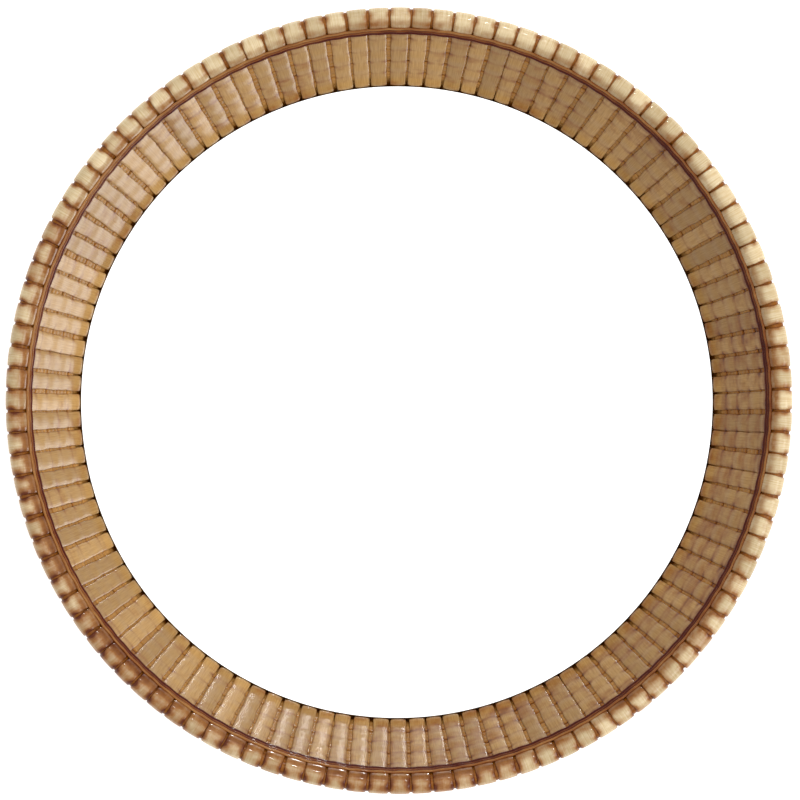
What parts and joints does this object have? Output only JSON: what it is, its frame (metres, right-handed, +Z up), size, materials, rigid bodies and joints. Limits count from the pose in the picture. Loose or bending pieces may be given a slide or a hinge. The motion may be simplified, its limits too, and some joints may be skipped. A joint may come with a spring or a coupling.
{
  "type": "winnowing basket",
  "caption": "Round flared winnowing basket of split bamboo and cane with a wrapped rim, a woven floor on a foot hoop, and a round mirror plate laid on the floor.",
  "frame": {"origin": "centre of the circle that the foot hoop stands on, at the bottom of the basket", "axes": "+Z up along the basket's axis, out of its mouth; +X runs along the floor laths"},
  "size_m": [0.5, 0.5, 0.107],
  "materials": {
    "split_bamboo_hoop": "varnished split bamboo, satin",
    "cane_lashing": "varnished cane, satin",
    "floor_splint": "varnished bamboo splint, satin",
    "floor_lath": "varnished bamboo lath, satin",
    "adhesive_pad": "soft mastic, matt",
    "backing_board": "hardboard, matt",
    "mirror_plate": "silvered float glass, polished",
    "core_cane": "round cane, satin",
    "binding_strand": "thin varnished cane strand, glossy",
    "bamboo_weaver": "varnished flat bamboo weaver, glossy",
    "inner_stake": "varnished flat bamboo stake, glossy",
    "outer_stake": "varnished flat bamboo stake, satin",
    "cane_wrap": "varnished flat cane wrap, glossy"
  },
  "bodies": {
    "root": {"base_hoop": "split_bamboo_hoop", "floor_lath_1": "floor_lath", "floor_lath_2": "floor_lath", "floor_lath_3": "floor_lath", "floor_lath_4": "floor_lath", "floor_splints_crosswise": "floor_splint", "floor_splints_lengthwise": "floor_splint", "foot_hoop": "split_bamboo_hoop", "foot_lashings": "cane_lashing", "inner_stakes_back_left": "inner_stake", "inner_stakes_back_right": "inner_stake", "inner_stakes_front_left": "inner_stake", "inner_stakes_front_right": "inner_stake", "lath_lashings": "cane_lashing", "mirror_board": "backing_board", "mirror_glass": "mirror_plate", "mirror_pads": "adhesive_pad", "outer_stakes_back_left": "outer_stake", "outer_stakes_back_right": "outer_stake", "outer_stakes_front_left": "outer_stake", "outer_stakes_front_right": "outer_stake", "rim_core_cane": "core_cane", "rim_hoop_inner": "split_bamboo_hoop", "rim_hoop_outer": "split_bamboo_hoop", "rim_strand_1": "binding_strand", "rim_strand_2": "binding_strand", "rim_strand_3": "binding_strand", "rim_strand_outer": "binding_strand", "rim_wraps_back_left": "cane_wrap", "rim_wraps_back_right": "cane_wrap", "rim_wraps_front_left": "cane_wrap", "rim_wraps_front_right": "cane_wrap", "wall_weaver_1": "bamboo_weaver", "wall_weaver_2": "bamboo_weaver", "wall_weaver_3": "bamboo_weaver", "wall_weaver_4": "bamboo_weaver", "wall_weaver_5": "bamboo_weaver"}
  },
  "joints": []
}
